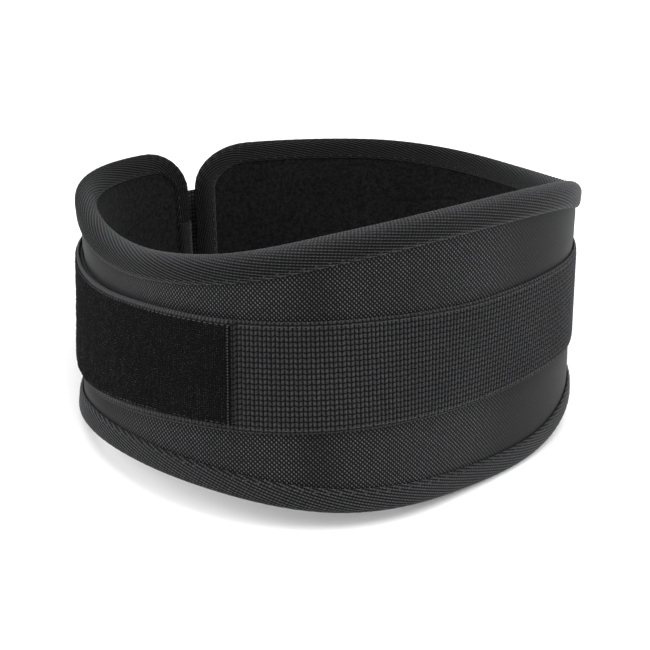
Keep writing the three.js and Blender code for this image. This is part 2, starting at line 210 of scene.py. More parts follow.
# %% [markdown]
# The outline of the pad is one closed line on the unrolled wall: along the bottom, up the right
# end, back along the top and down the left end, with rounded corners. The binding tape, its
# stitches and the edges of every layer follow this line at their own distances from it.


# %% The outline of the pad
def corner_cut(length):
    """How far a corner takes the outline in, as a share of CORNER_DEPTH, at each length."""
    left = np.clip((length - LEFT_END) / LEFT_CORNER_RUN, 0, 1)
    right = np.clip((RIGHT_END - length) / RIGHT_CORNER_RUN, 0, 1)
    return 2 - np.sqrt(1 - (1 - left)**2) - np.sqrt(1 - (1 - right)**2)


def edge_heights(length):
    """The outline's lower and upper height at each length."""
    rise, drop, _, _ = section(turn_at(length))
    cut = CORNER_DEPTH * corner_cut(length)
    return cut - drop, rise - cut


def outline_columns(step, corner_steps=14):
    """Lengths along the pad: even steps, and finer ones round the corners."""
    quarter = 1 - np.cos(np.linspace(0, np.pi / 2, corner_steps + 1))
    start, end = LEFT_END + LEFT_CORNER_RUN, RIGHT_END - RIGHT_CORNER_RUN
    straight = np.linspace(start, end, int((end - start) / step) + 1)
    left = LEFT_END + LEFT_CORNER_RUN * quarter[:-1]
    right = RIGHT_END - RIGHT_CORNER_RUN * quarter[:-1][::-1]
    return np.concatenate((left, straight, right))


def evenly(line, count):
    """A closed line drawn again with evenly spaced points."""
    line = np.vstack((line, line[:1]))
    run = np.concatenate(([0], np.cumsum(np.linalg.norm(np.diff(line, axis=0), axis=1))))
    at = np.linspace(0, run[-1], count, endpoint=False)
    return np.stack([np.interp(at, run, line[:, k]) for k in (0, 1)], 1), run[-1]


def closed_outline():
    columns = outline_columns(2.0)
    low, high = edge_heights(columns)
    share = np.linspace(0, 1, 24)[1:-1]
    right = np.stack((np.full(share.shape, RIGHT_END), low[-1] + (high[-1] - low[-1]) * share), 1)
    left = np.stack((np.full(share.shape, LEFT_END), high[0] + (low[0] - high[0]) * share), 1)
    return np.vstack((np.stack((columns, low), 1), right, np.stack((columns, high), 1)[::-1], left))


RIM_POINTS = 4096
RIM_LINE, RIM_LENGTH = evenly(closed_outline(), RIM_POINTS)
AHEAD = np.roll(RIM_LINE, -6, 0) - np.roll(RIM_LINE, 6, 0)
RIM_OUTWARD = np.stack((AHEAD[:, 1], -AHEAD[:, 0]), 1)
RIM_OUTWARD /= np.linalg.norm(AHEAD, axis=1, keepdims=True)


def around(rows, distance):
    """Values of a row for each rim point, read at any distance round the rim."""
    at = np.asarray(distance) / RIM_LENGTH % 1 * RIM_POINTS
    i = at.astype(int) % RIM_POINTS
    share = (at - np.floor(at))[..., None]
    return rows[i] * (1 - share) + rows[(i + 1) % RIM_POINTS] * share


def rim_wall(distance, inset, out):
    """A point before rest, from a distance round the rim, an inset from the outline, and out."""
    flat = around(RIM_LINE, distance) - around(RIM_OUTWARD, distance) * np.asarray(inset)[..., None]
    return wall(flat[..., 0], flat[..., 1], out)


print("the rim is", round(RIM_LENGTH), "mm round")

# %% [markdown]
# The belt stands by itself on three places of its lower edge: the lowest point of the back, and of
# each side of the front. A few rounds of tilting find them, as when a chair stops rocking. The
# shift then puts the binding where the frame holds it.


# %% Set the belt down
def upright_turn():
    """The rotation that brings the plane through the three lowest places level."""
    around_rim = np.linspace(0, RIM_LENGTH, RIM_POINTS, endpoint=False)[:, None]
    fold = np.linspace(0, np.pi, 9)
    inset = RIM_OUTER - RIM_OUTER * np.sin(fold)
    points = rim_wall(around_rim, inset[None], RIM_OUTER * np.cos(fold)[None]).reshape(-1, 3)
    x, y, _ = points.T
    sides = (y > RING_RADIUS / 2, (y < 0) & (x > 0), (y < 0) & (x < 0))
    up = np.array((0.0, 0.0, 1.0))
    for _ in range(6):
        feet = [points[side][np.argmin(points[side] @ up)] for side in sides]
        normal = np.cross(feet[1] - feet[0], feet[2] - feet[0])
        up = normal / np.linalg.norm(normal) * np.sign(normal[2])
    turn = np.array(Vector(up).rotation_difference(Vector((0, 0, 1))).to_matrix())
    return turn, points @ turn.T


REST_TURN, rim_points = upright_turn()
low, high = (np.array(corner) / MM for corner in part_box("edge_binding"))
REST_SHIFT = (low + high) / 2 - (rim_points.min(0) + rim_points.max(0)) / 2
REST_SHIFT[2] = -REST_FLAT - rim_points[:, 2].min()


def set_down(points):
    """Points before rest, in millimetres, as they stand in the scene, in metres."""
    return (points @ REST_TURN.T + REST_SHIFT) * MM


def place(length, height, out):
    """A point of the wall's space in the scene."""
    return set_down(wall(*np.broadcast_arrays(length, height, out)))


def place_rim(distance, inset, out):
    """A point of the rim's space in the scene."""
    return set_down(rim_wall(*np.broadcast_arrays(distance, inset, out)))


print("tilt at rest", np.round(np.degrees(np.arccos(REST_TURN[2, 2])), 2), "degrees")

# %% [markdown]
# The camera stands where the photograph's did: behind the wearer's left shoulder, so that the
# tall back is on the right and the strap's free end on the left. A long lens keeps the ring from
# bulging.

# %% Camera
CAMERA_AT = (494.0, 768.1, 446.8)
CAMERA_TURNED = (66.06, -1.62, 147.63)
CAMERA_LENS = 89.61

camera = bpy.data.objects.new("camera", bpy.data.cameras.new("camera"))
camera.data.lens = CAMERA_LENS
camera.location = Vector(CAMERA_AT) * MM
camera.rotation_euler = Euler(np.radians(CAMERA_TURNED))
bpy.context.scene.collection.objects.link(camera)
bpy.context.scene.camera = camera
print("camera", round(camera.location.length, 3), "m from the belt's foot")

# %% [markdown]
# Cloth patterns are sums of waves along the warp and the weft. Written as node links they are hard
# to read, so a small class lets a socket be added and multiplied like a number, and each sign adds
# one Math node. The same class serves materials and geometry, because both have Math nodes.


# %% Node maths that reads like maths
class Wire:
    """A node's output that can be used in a sum."""

    def __init__(self, tree, socket):
        self.tree, self.socket = tree, socket

    def math(self, operation, *others):
        node = self.tree.nodes.new("ShaderNodeMath")
        node.operation = operation
        for place_in, value in zip(node.inputs, (self, *others)):
            connect(self.tree, value, place_in)
        return Wire(self.tree, node.outputs[0])

    def __add__(self, other):
        return self.math("ADD", other)

    def __sub__(self, other):
        return self.math("SUBTRACT", other)

    def __mul__(self, other):
        return self.math("MULTIPLY", other)

    def __truediv__(self, other):
        return self.math("DIVIDE", other)

    def sine(self):
        return self.math("SINE")

    def size(self):
        return self.math("ABSOLUTE")

    def power(self, other):
        return self.math("POWER", other)

    def floor(self):
        return self.math("FLOOR")

    def part(self, span=1.0):
        return self.math("FLOORED_MODULO", span)

    def most(self, other):
        return self.math("MAXIMUM", other)

    def between(self, low, high, smoothly=True):
        """0 below low, 1 above high."""
        node = self.tree.nodes.new("ShaderNodeMapRange")
        node.interpolation_type = "SMOOTHSTEP" if smoothly else "LINEAR"
        for name, value in (("Value", self), ("From Min", low), ("From Max", high)):
            connect(self.tree, value, node.inputs[name])
        return Wire(self.tree, node.outputs["Result"])


def connect(tree, value, socket):
    """Links a wire to a socket, or sets the socket to a plain value."""
    if isinstance(value, Wire):
        tree.links.new(value.socket, socket)
    elif value is not None:
        socket.default_value = value


# %% [markdown]
# Every cloth here is matt black, and yet each looks different: what tells them apart is how the
# yarns stand up and catch the light. So one function makes a plain cloth shader, and each cloth
# gives it a height in millimetres, which goes to a Bump node, and a tone, which paints light and
# shade into the colour: 1 where a yarn lies on top, a painted highlight for the light its top
# catches, and near 0 in the gaps, painted shade that makes them almost fully black. The cloth's
# colour is that of its brightest, lit yarn top. The pattern runs along the piece's own UV map, in
# millimetres along and across the cloth.


# %% A cloth shader
TONE_DRIFT = 0.1  # how much the tone wanders over the whole belt
PI = float(np.pi)


class Cloth:
    """A material under construction, with its shader and the wires that patterns start from."""

    def __init__(self, name, grey, roughness, sheen, specular):
        self.material = bpy.data.materials.new(name)
        self.material.use_nodes = True
        self.tree = self.material.node_tree
        self.shader = self.tree.nodes["Principled BSDF"]
        for socket, value in (("Roughness", roughness), ("Sheen Weight", sheen),
                              ("Specular IOR Level", specular), ("Sheen Roughness", 0.45)):
            self.shader.inputs[socket].default_value = value
        self.shader.inputs["Sheen Tint"].default_value = (0.75, 0.77, 0.8, 1)
        self.colour = (grey, grey, grey * 1.05)
        flat = self.node("ShaderNodeUVMap")
        flat.uv_map = "cloth"
        split = self.node("ShaderNodeSeparateXYZ")
        self.tree.links.new(flat.outputs["UV"], split.inputs[0])
        self.along = Wire(self.tree, split.outputs["X"])
        self.across = Wire(self.tree, split.outputs["Y"])
        self.place = self.node("ShaderNodeTexCoord").outputs["Object"]

    def node(self, kind):
        return self.tree.nodes.new(kind)

    def noise(self, scale, detail=2.0, upright=1.0):
        """Cloudy values round 0.5, so many to the metre. upright below 1 makes them streaks."""
        stretch = self.node("ShaderNodeVectorMath")
        stretch.operation = "MULTIPLY"
        self.tree.links.new(self.place, stretch.inputs[0])
        stretch.inputs[1].default_value = (1, 1, upright)
        noise = self.node("ShaderNodeTexNoise")
        self.tree.links.new(stretch.outputs[0], noise.inputs["Vector"])
        noise.inputs["Scale"].default_value = scale
        noise.inputs["Detail"].default_value = detail
        return Wire(self.tree, noise.outputs["Fac"])

    def varied(self, scale, amount):
        """Values round 1 that differ from yarn to yarn, by the amount at most."""
        return self.noise(scale, 1.0).between(0.3, 0.7, False) * (2 * amount) + (1 - amount)

    def finish(self, height, tone):
        """Sets the relief, in millimetres, and the colour, as the cloth's colour times the tone."""
        mix = self.node("ShaderNodeVectorMath")
        mix.operation = "SCALE"
        mix.inputs[0].default_value = self.colour
        self.tree.links.new((tone * self.varied(22.0, TONE_DRIFT)).socket, mix.inputs["Scale"])
        self.tree.links.new(mix.outputs[0], self.shader.inputs["Base Color"])
        bump = self.node("ShaderNodeBump")
        bump.inputs["Distance"].default_value = MM
        self.tree.links.new(height.socket, bump.inputs["Height"])
        self.tree.links.new(bump.outputs["Normal"], self.shader.inputs["Normal"])
        return self.material


# %% [markdown]
# The shell is a plain weave of thick nylon yarn. Yarns go over and under in turn, so the face is a
# chequerboard: where the upright yarn is on top it shows as a bright short dash, a painted
# highlight on its top, and where the other one is, it lies lower and is painted darker, as painted
# shade. The product of two cosines, one along and one across the cloth, is such a chequerboard: it
# is above 0 in every other cell.

# %% Shell cloth: plain weave
YARN_ACROSS, YARN_UP = 1.18, 1.24  # sizes of one cell of the weave
DASH_SLANT = 0.25
PAINTED_SHEEN_TURNS = (-86, -62, -2, 17)  # the sides, where the belt turns away from view, get a flat painted tone for their smooth grey sheen, before the first pair and after the second
PAINTED_SHEEN_TONE, PAINTED_SHEEN_SHARE = 0.1, 0.85
PAINTED_SHADE_TURNS = (-40, -34, -33, -27)  # a soft upright band of painted shade on the shell
PAINTED_SHADE_DEPTH = 0.26


def between_turns_of(cloth, turns):
    """Rises from 0 to 1 over the first two turns and falls again over the last two."""
    first, second, third, fourth = (float(length_at(turn)) for turn in turns)
    return cloth.along.between(first, second) - cloth.along.between(third, fourth)


def plain_weave():
    cloth = Cloth("nylon_plain_weave", 0.082, 0.6, 0.06, 0.06)
    row = cloth.across / YARN_UP
    column = cloth.along / YARN_ACROSS + (row.part() - 0.5) * DASH_SLANT
    x, y = (column * PI).sine(), (row * PI).sine()
    over = x * y
    upright = over.most(0.0).power(0.7) * x.size()
    level = (over * -1.0).most(0.0)
    relief = upright * 0.3 + level * 0.12
    # Painted highlight on the upright yarn tops, painted shade on the lower yarn and in the gaps
    tone = upright * cloth.varied(900.0, 0.4) + level * 0.06 + 0.01
    # Painted sheen: on the sides that turn away from view, the weave's tone gives way to a flat
    # painted tone, and the relief is taken off
    painted_sheen = (between_turns_of(cloth, PAINTED_SHEEN_TURNS) * -1.0 + 1.0) * PAINTED_SHEEN_SHARE
    # Painted shade: a soft upright band of the shell is darkened
    fold = between_turns_of(cloth, PAINTED_SHADE_TURNS) * -PAINTED_SHADE_DEPTH + 1.0
    painted_sheen_tone = tone + (tone * -1.0 + PAINTED_SHEEN_TONE) * painted_sheen
    return cloth.finish(relief * (painted_sheen * -1.0 + 1.0), painted_sheen_tone * fold)


# %% Lining: brushed cloth
def brushed():
    cloth = Cloth("brushed_lining", 0.011, 0.95, 0.05, 0.03)
    nap = cloth.noise(900.0, 4.0)
    pile = cloth.noise(420.0, 3.0)
    relief = nap * 0.35 + pile * 0.5
    tone = (nap * 0.6 + pile * 0.6).between(0.35, 0.85) * 0.9 + 0.2
    return cloth.finish(relief, tone)


# %% [markdown]
# Binding tape is a twill: its ribs run almost along the tape, at a low slant, and a second, finer
# set of yarns crosses them. The ribs are real geometry, made further down. The material adds the
# yarns that cross them, with painted highlights on the rib tops and painted shade in the dark lines
# in between, and painted shade on the tape's inside leg.

# %% Binding tape: twill
RIB_PITCH, RIB_SLANT = 1.57, 13.8  # measured across the ribs, and in degrees from the tape's run
CROSS_PITCH, CROSS_SLANT = 1.62, 77.6
INSIDE_SHADE_FROM, INSIDE_SHADE_TO = 16.0, 24.0  # way across, to the tape's inside leg, darkened as painted shade
INSIDE_SHADE_SHARE = 0.6


def slanted(cloth, pitch, degrees):
    """Counts the ribs of a set that runs at a slant to the tape."""
    angle = np.radians(degrees)
    return cloth.along * float(np.sin(angle) / pitch) - cloth.across * float(np.cos(angle) / pitch)


def twill():
    cloth = Cloth("twill_tape", 0.052, 0.6, 0.13, 0.06)
    ribs = slanted(cloth, RIB_PITCH, RIB_SLANT)
    crossing = slanted(cloth, CROSS_PITCH, CROSS_SLANT) + ribs.floor() * 0.5
    top = ((ribs.part() - 0.5) * PI).math("COSINE")
    bead = ((crossing.part() - 0.5) * PI).math("COSINE")
    relief = bead * 0.12 + top * 0.15
    # Painted highlight on the rib tops and crossing beads, painted shade between them
    tone = top.power(4.0) * (bead * 0.85 + 0.15) * cloth.varied(800.0, 0.3) + 0.006
    # Painted shade on the tape's inside leg, which faces into the ring
    inside = cloth.across.between(INSIDE_SHADE_FROM, INSIDE_SHADE_TO)
    return cloth.finish(relief, tone * (inside * -INSIDE_SHADE_SHARE + 1.0))


# %% [markdown]
# Webbing is woven from much thicker yarn, in upright ribs that the cross yarns pinch at every row,
# so that each rib is a string of beads. The beads lean to the left and to the right in turn, and
# the pinches run across the band as a zigzag. The beads are geometry too, and the material paints
# shade into the pinches and the grooves between the ribs, and adds the fine strands of each bead.

# %% Webbing: ribs pinched by rows
WEB_RIB, WEB_ROW = 2.15, 2.87
ROW_ZIGZAG = 0.32  # rise of the zigzag over one rib, as a share of a row


def ribbed():
    cloth = Cloth("ribbed_webbing", 0.037, 0.62, 0.11, 0.05)
    column = cloth.along / WEB_RIB
    lean = column.floor().part(2.0) * 2.0 - 1.0
    x = column.part() - 0.5
    y = (cloth.across / WEB_ROW + lean * x * ROW_ZIGZAG).part() - 0.5
    strand = ((x * lean * 1.2 + y) * 4.0).part() - 0.5
    fibre = (strand * PI).math("COSINE")
    groove = x.size().between(0.12, 0.5)
    pinch = y.size().between(0.22, 0.46) * (x.size().between(0.3, 0.5) * -0.6 + 1.0)
    relief = fibre * 0.08 - pinch * 0.2 - groove * 0.2
    # Painted shade in the grooves between ribs and in the pinches
    tone = (groove * -0.9 + 1.0) * (pinch * -0.96 + 1.0) * (fibre * 0.35 + 0.65)
    return cloth.finish(relief, tone * cloth.varied(700.0, 0.3) + 0.01)


# %% Loop pile, its loops, and thread
def pile_ground():
    # Painted shade: the ground, the same black yarn as the loops, is made far darker, for the shade
    # between them
    cloth = Cloth("loop_pile_ground", 0.004, 0.95, 0.0, 0.02)
    loops = cloth.noise(1500.0, 3.0)
    return cloth.finish(loops * 0.5, loops * 0.9 + 0.5)


def pile_yarn():
    cloth = Cloth("loop_pile_yarn", 0.055, 0.8, 0.07, 0.03)
    strands = cloth.noise(3200.0, 3.0)
    columns = cloth.noise(520.0, 2.0, 0.04).between(0.35, 0.65) * 0.7 + 0.3
    tone = strands.between(0.3, 0.7) * cloth.varied(700.0, 0.4) * columns + 0.04
    return cloth.finish(strands * 0.12, tone)


def thread():
    cloth = Cloth("thread", 0.04, 0.6, 0.02, 0.12)
    twist = cloth.noise(2800.0, 2.0)
    return cloth.finish(twist * 0.1, twist * 0.6 + 0.7)


SHELL, LINING, TWILL, RIBBED = plain_weave(), brushed(), twill(), ribbed()
PILE_GROUND, PILE_YARN, THREAD = pile_ground(), pile_yarn(), thread()
print(len(bpy.data.materials), "materials")


# %% [markdown]
# Each layer is a grid of points: columns along the belt and rows across the piece. One function
# joins such a grid into faces, closes it where it meets itself, and keeps two sets of notes on it.
# The UV map called cloth tells the material where it is on the flat cloth. The attribute called
# weave says the same to Geometry Nodes, with a third number for how strongly the relief shows.

# %% From a grid of points to a mesh
PARTS = {}


def grid_piece(name, points, weave, material, loop=True, ring_length=None):
    """A closed body from sections along a piece. points, weave: one row for each section.
    loop: each section closes on itself. ring_length: the last section also meets the first."""
    points, weave = np.asarray(points, float), np.asarray(weave, float)
    count, size = points.shape[:2]
    ids = np.arange(count * size).reshape(count, size)
    flat = weave[..., :2]
    if loop:
        ids = np.concatenate((ids, ids[:, :1]), 1)
        flat = np.concatenate((flat, flat[:, :1]), 1)
    if ring_length:
        ids = np.concatenate((ids, ids[:1]), 0)
        flat = np.concatenate((flat, flat[:1] + (ring_length, 0)), 0)

    def corners(values):
        return np.stack((values[:-1, :-1], values[1:, :-1], values[1:, 1:], values[:-1, 1:]), 2)

    quads = corners(ids).reshape(-1, 4)
    uv = corners(flat).reshape(-1, 4, 2)
    flat_points = points.reshape(-1, 3)
    a, b, c, d = (flat_points[quads[:, k]] for k in range(4))
    end_rings = [ids[0, :size], ids[-1, :size][::-1]]
    if volume(a, b, c, d) < 0:
        quads, uv = quads[:, ::-1], uv[:, ::-1]
        end_rings = [ring_ids[::-1] for ring_ids in end_rings]
    faces = quads.tolist()
    corner_uv = [uv.reshape(-1, 2)]
    if loop and not ring_length:
        for ring_ids in end_rings:
            faces.append(ring_ids.tolist())
            corner_uv.append(weave.reshape(-1, 3)[ring_ids, :2])
    mesh = bpy.data.meshes.new(name)
    mesh.from_pydata(flat_points.tolist(), [], faces)
    mesh.uv_layers.new(name="cloth").uv.foreach_set("vector", np.concatenate(corner_uv).ravel())
    notes = mesh.attributes.new("weave", "FLOAT_VECTOR", "POINT")
    notes.data.foreach_set("vector", weave.reshape(-1, 3).ravel())
    mesh.polygons.foreach_set("use_smooth", np.ones(len(mesh.polygons), bool))
    mesh.materials.append(material)
    mesh.update()
    piece = bpy.data.objects.new(name, mesh)
    bpy.context.scene.collection.objects.link(piece)
    PARTS[name] = piece
    return piece


def volume(a, b, c, d):
    """Signed volume under quads, to tell an inside-out body."""
    return ((a * np.cross(b, c)).sum() + (a * np.cross(c, d)).sum()) / 6


def triangles(piece):
    piece.data.calc_loop_triangles()
    return len(piece.data.loop_triangles)


def pressed_flat(piece):
    """Lifts what would reach below the floor on to it, as the belt's weight does."""
    points = np.empty(len(piece.data.vertices) * 3)
    piece.data.vertices.foreach_get("co", points)
    points[2::3] = np.maximum(points[2::3], 0)
    piece.data.vertices.foreach_set("co", points)
    piece.data.update()


def told(piece, *nodes, slot):
    """Presses the piece on to the floor, rides it on the belt, hides the frame's parts that it
    stands for, and prints its size. slot is not used.
    """
    pressed_flat(piece)
    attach(piece, "root")
    if nodes:
        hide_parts(*nodes)
    print(piece.name, triangles(piece), "triangles")


# %% [markdown]
# Geometry Nodes make everything that repeats. A small class builds each tree: it names the inputs,
# and when the tree is used, it sets them by their identifiers before the object is first looked at.
# The result is then turned into a plain mesh, and the modifier is taken off again.


# %% A tree of Geometry Nodes
def applied(piece, modifier):
    """Leaves what the modifier makes as the piece's plain mesh."""
    graph = bpy.context.evaluated_depsgraph_get()
    mesh = bpy.data.meshes.new_from_object(piece.evaluated_get(graph), depsgraph=graph)
    old = piece.data
    piece.modifiers.remove(modifier)
    piece.data = mesh
    mesh.name = piece.name
    bpy.data.meshes.remove(old)


class Tree:
    """A node tree with named inputs. It ends in Realize Instances and Set Material."""

    def __init__(self, name, **inputs):
        self.tree = bpy.data.node_groups.new(name, "GeometryNodeTree")
        face = self.tree.interface
        face.new_socket("Geometry", in_out="OUTPUT", socket_type="NodeSocketGeometry")
        face.new_socket("Geometry", in_out="INPUT", socket_type="NodeSocketGeometry")
        for label, value in inputs.items():
            kind = "NodeSocketInt" if isinstance(value, int) else "NodeSocketFloat"
            face.new_socket(label, in_out="INPUT", socket_type=kind).default_value = value
        face.new_socket("Material", in_out="INPUT", socket_type="NodeSocketMaterial")
        self.inlet = self.tree.nodes.new("NodeGroupInput")
        self.outlet = self.tree.nodes.new("NodeGroupOutput")

    def node(self, kind, **settings):
        node = self.tree.nodes.new(kind)
        for label, value in settings.items():
            setattr(node, label, value)
        return node

    def input(self, label):
        return Wire(self.tree, self.inlet.outputs[label])

    def link(self, source, target):
        self.tree.links.new(source, target)

    def weave(self):
        """The three notes of each point: along, across and how strongly the relief shows."""
        notes = self.node("GeometryNodeInputNamedAttribute", data_type="FLOAT_VECTOR")
        notes.inputs["Name"].default_value = "weave"
        split = self.node("ShaderNodeSeparateXYZ")
        self.link(notes.outputs["Attribute"], split.inputs[0])
        return [Wire(self.tree, split.outputs[axis]) for axis in "XYZ"]

    def close(self, geometry):
        realize = self.node("GeometryNodeRealizeInstances")
        paint = self.node("GeometryNodeSetMaterial")
        self.link(geometry, realize.inputs[0])
        self.link(realize.outputs[0], paint.inputs["Geometry"])
        self.link(self.inlet.outputs["Material"], paint.inputs["Material"])
        self.link(paint.outputs[0], self.outlet.inputs[0])
        return self

    def apply(self, piece, material, **values):
        """Runs the tree on the piece and leaves the result as its plain mesh."""
        modifier = piece.modifiers.new("shape", "NODES")
        modifier.node_group = self.tree
        values["Material"] = material
        for item in self.tree.interface.items_tree:
            if item.in_out == "INPUT" and item.name in values:
                modifier[item.identifier] = values[item.name]
        applied(piece, modifier)
        if not len(piece.data.materials):
            piece.data.materials.append(material)
        return piece


def pushed_out(tree, height):
    """Moves each point along its own normal by a height in metres."""
    normal = tree.node("GeometryNodeInputNormal")
    scale = tree.node("ShaderNodeVectorMath", operation="SCALE")
    tree.link(normal.outputs[0], scale.inputs[0])
    tree.link(height.socket, scale.inputs["Scale"])
    move = tree.node("GeometryNodeSetPosition")
    tree.link(tree.inlet.outputs["Geometry"], move.inputs["Geometry"])
    tree.link(scale.outputs[0], move.inputs["Offset"])
    return move.outputs[0]


# %% Trees for the two kinds of woven relief
def twill_relief():
    """Slanted ribs, each a low round cord."""
    tree = Tree("twill_relief", Pitch=1.5, Slant=0.2, Depth=0.0003)
    along, across, strength = tree.weave()
    slant = tree.input("Slant")
    count = (along * slant.math("SINE") - across * slant.math("COSINE")) / tree.input("Pitch")
    cord = ((count.part() - 0.5) * PI).math("COSINE").power(0.8)
    return tree.close(pushed_out(tree, (cord - 0.5) * strength * tree.input("Depth")))


def ribbed_relief():
    """Upright ribs that every row pinches, so that each is a string of beads, leaning in turn."""
    tree = Tree("ribbed_relief", Rib=2.0, Row=3.0, Zigzag=0.1, Depth=0.0004)
    along, across, strength = tree.weave()
    column = along / tree.input("Rib")
    lean = column.floor().part(2.0) * 2.0 - 1.0
    x = column.part() - 0.5
    row = across / tree.input("Row") + lean * x * tree.input("Zigzag")
    rib = (x * PI).math("COSINE").power(0.7)
    bead = ((row.part() - 0.5) * PI).math("COSINE").power(0.6)
    height = rib * (bead * 0.5 + 0.5) - 0.6
    return tree.close(pushed_out(tree, height * strength * tree.input("Depth")))


TWILL_RELIEF, RIBBED_RELIEF = twill_relief(), ribbed_relief()
print("two trees for relief")

# %% [markdown]
# The shell is the outer face of the pad. It is sewn down along the binding and along both edges of
# the webbing, and the foam under it pushes it out in between. So it is simulated: a grid of cloth,
# held at its seams, is blown up a little with no gravity, and no point may move further than the
# foam would let it. A moulded surface with a bulge from a formula would be simpler, but its seams
# would look drawn on.

# %% The shell's starting shape
SHELL_STEP = 4.0
SEAM_DIP = 0.7  # how deep the seams press into the foam
SEAM_REACH = 5.0
SHELL_ROWS = (6, 9, 14, 9, 6)  # rows in hem, lower panel, under the webbing, upper panel, hem
HEM = TAPE_COVER_OUTSIDE - 1.0  # what the binding covers
FOAM_EDGE = 5.7  # how far the foam's edge stays inside the outline
FOAM_INNER = PAD_HALF - LINING_THICKNESS - CLEARANCE
RIM_SINK, RIM_ROUNDING = 1.7, 4  # how far the shell sinks at its rim, and over what width
SEAM_KINDS = (0.5, 1.5, 2.5, 3.5)  # rows on a seam, between two bands of rows
PANEL_KINDS = (1, 3)  # rows that are free to swell


def shell_heights(columns):
    """Heights of every row of the shell in every column, with rows on the seams."""
    low, high = edge_heights(columns)
    low, high = low + FOAM_EDGE, high - FOAM_EDGE
    band = section(turn_at(columns))[2]
    middle = (low + high) / 2
    reach = (high - low) / 2
    hem = np.minimum(HEM - FOAM_EDGE, reach * 0.25)
    seam_low = np.clip(band - WEBBING_WIDTH / 2, low + hem * 1.4, middle)
    seam_high = np.clip(band + WEBBING_WIDTH / 2, middle, high - hem * 1.4)
    knots = (low, low + hem, seam_low, seam_high, high - hem, high)
    rows, kinds = [], []
    for kind, (count, start, end) in enumerate(zip(SHELL_ROWS, knots, knots[1:])):
        for share in np.linspace(0, 1, count, endpoint=False):
            rows.append(start + (end - start) * share)
            kinds.append(kind if share else kind - 0.5)
    return np.array(rows + [high]).T, np.array(kinds + [5])


def shell_start():
    columns = outline_columns(SHELL_STEP, 8)
    columns = np.clip(columns, LEFT_END + FOAM_EDGE, RIGHT_END - FOAM_EDGE)
    columns = np.unique(np.round(columns, 3))
    heights, kinds = shell_heights(columns)
    lengths = np.repeat(columns[:, None], heights.shape[1], 1)
    seams = heights[:, np.isin(kinds, SEAM_KINDS)]
    seam = np.abs(heights[:, :, None] - seams[:, None]).min(2)
    panel = np.isin(kinds, PANEL_KINDS)[None] | np.isin(kinds, SEAM_KINDS)[None]
    outer = PAD_HALF - SEAM_DIP * (1 - ease(seam, 0, SEAM_REACH)) * panel
    end = np.minimum(lengths - columns[0], columns[-1] - lengths)
    outer = outer - RIM_SINK * (1 - ease(end, 0, RIM_ROUNDING))
    rim = np.minimum(heights - heights[:, :1], heights[:, -1:] - heights)
    outer = outer - RIM_SINK * (1 - ease(rim, 0, RIM_ROUNDING))
    front = place(lengths, heights, outer)
    back = place(lengths, heights, np.full(heights.shape, -FOAM_INNER))[:, ::-1]
    points = np.concatenate((front, back), 1)
    flat = np.stack((lengths, heights, np.ones(lengths.shape)), -1)
    weave = np.concatenate((flat, flat[:, ::-1]), 1)
    free = np.concatenate((np.repeat(np.isin(kinds, PANEL_KINDS)[None], len(columns), 0),
                           np.zeros(heights.shape, bool)), 1)
    return points, weave, free


points, weave, free = shell_start()
shell = grid_piece("woven_shell", points, weave, SHELL)
print("shell before padding:", points.shape[0], "columns and", points.shape[1], "rows")

# %% Blow the shell up between its seams
PRESSURE, CLOTH_FRAMES = 5.0, 20
MOST_SWELL = 1.7 * MM


def padded_out(piece, free, frames=CLOTH_FRAMES):
    """Cloth held everywhere but at the free points, swollen by pressure and capped."""
    start = np.array([vertex.co for vertex in piece.data.vertices])
    held = piece.vertex_groups.new(name="seams")
    held.add(np.flatnonzero(~free).tolist(), 1.0, "REPLACE")
    cloth = piece.modifiers.new("cloth", "CLOTH")
    cloth.settings.vertex_group_mass = held.name
    cloth.settings.use_pressure = True
    cloth.settings.uniform_pressure_force = PRESSURE
    cloth.settings.quality = 4
    cloth.settings.effector_weights.gravity = 0
    cloth.collision_settings.use_collision = False
    cloth.point_cache.frame_end = frames
    for frame_number in range(1, frames + 1):
        bpy.context.scene.frame_set(frame_number)
    seen = piece.evaluated_get(bpy.context.evaluated_depsgraph_get())
    moved = np.array([vertex.co for vertex in seen.data.vertices]) - start
    piece.modifiers.remove(cloth)
    piece.vertex_groups.clear()
    bpy.context.scene.frame_set(1)
    reach = np.linalg.norm(moved, axis=1)
    capped = moved * (np.minimum(reach, MOST_SWELL) / np.maximum(reach, 1e-9))[:, None]
    piece.data.vertices.foreach_set("co", (start + capped).ravel())
    piece.data.update()
    print(piece.name, "swelled by up to", round(reach.max() / MM, 2), "mm before the cap")


def subdivided(piece, levels=1):
    """One subdivision, applied."""
    rounder = piece.modifiers.new("rounder", "SUBSURF")
    rounder.levels = rounder.render_levels = levels
    applied(piece, rounder)


padded_out(shell, free.ravel())
subdivided(shell)
told(shell, "padded_body", slot="shell_fabric")

# %% [markdown]
# The lining is one sheet of brushed cloth, laid on the foam inside the belt. Two things show on it:
# the box of stitches that holds the strap from outside, pressed into the foam, and soft creases
# near the left end, where the sheet is curved tightest. Both are shallow valleys along short lines,
# so they are lines in a table, and the sheet's points are moved by their distance to them.

# %% Lines on the lining
# from, to: places on the wall as a turn and a height. deep, wide: depth and half width of the
# valley.
LINING_LINES = table("from_turn from_up to_turn to_up deep wide", (
    (127.7, 15, 127.7, -34, 0.7, 1.1),
    (127.7, 15, 107.3, 21, 0.7, 1.1),
    (127.7, 15, 108.0, -22, 0.6, 1.1),
    (107.3, 21, 108.0, -22, 0.6, 1.1),
    (107.3, 21, 127.7, -34, 0.5, 1.1),
    (209.8, 13, 197.5, 18, 1.0, 1.2),
    (197.5, 18, 190.0, 15, 0.7, 1.3),
))
LINING_STEP = 1.6
LINING_INSET = RIM_OUTER - 0.5


